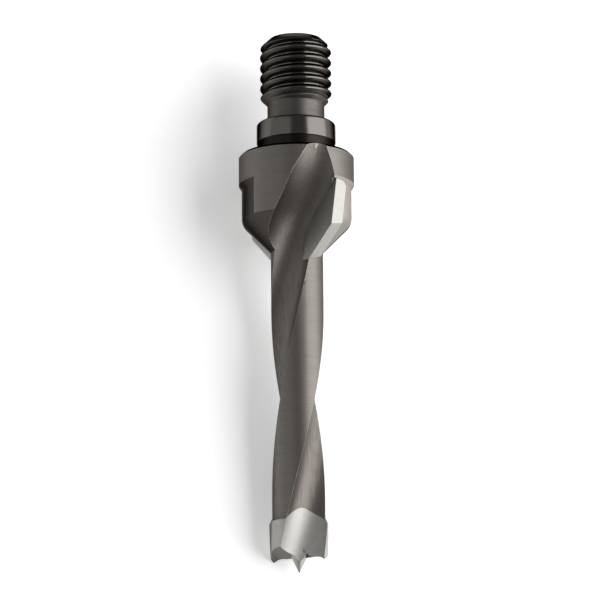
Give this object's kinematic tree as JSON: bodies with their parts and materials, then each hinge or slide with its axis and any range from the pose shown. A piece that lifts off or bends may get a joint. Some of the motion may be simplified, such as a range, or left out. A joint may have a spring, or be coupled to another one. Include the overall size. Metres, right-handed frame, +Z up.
{
  "type": "dowel drill bit",
  "caption": "Dowel drill bit with a threaded shank, a pilot collar, a winged countersink, a fluted shaft and a spurred carbide head.",
  "frame": {"origin": "centre of the shoulder face, where the shank's axis meets the face that stops against the spindle", "axes": "the tool lies as it comes to rest on a level bench: +Z is up, its length runs along Y with the threaded shank towards +Y and the cutting point towards -Y, and its axis dips 5.6 degrees towards the point"},
  "size_m": [0.016, 0.075, 0.0161],
  "materials": {
    "hardened_steel": "dark satin, hardened and ground",
    "ground_carbide": "fine ground"
  },
  "bodies": {
    "root": {"steel_body": "hardened_steel", "carbide_head": "ground_carbide", "carbide_plate_right": "ground_carbide", "carbide_plate_left": "ground_carbide"}
  },
  "joints": []
}
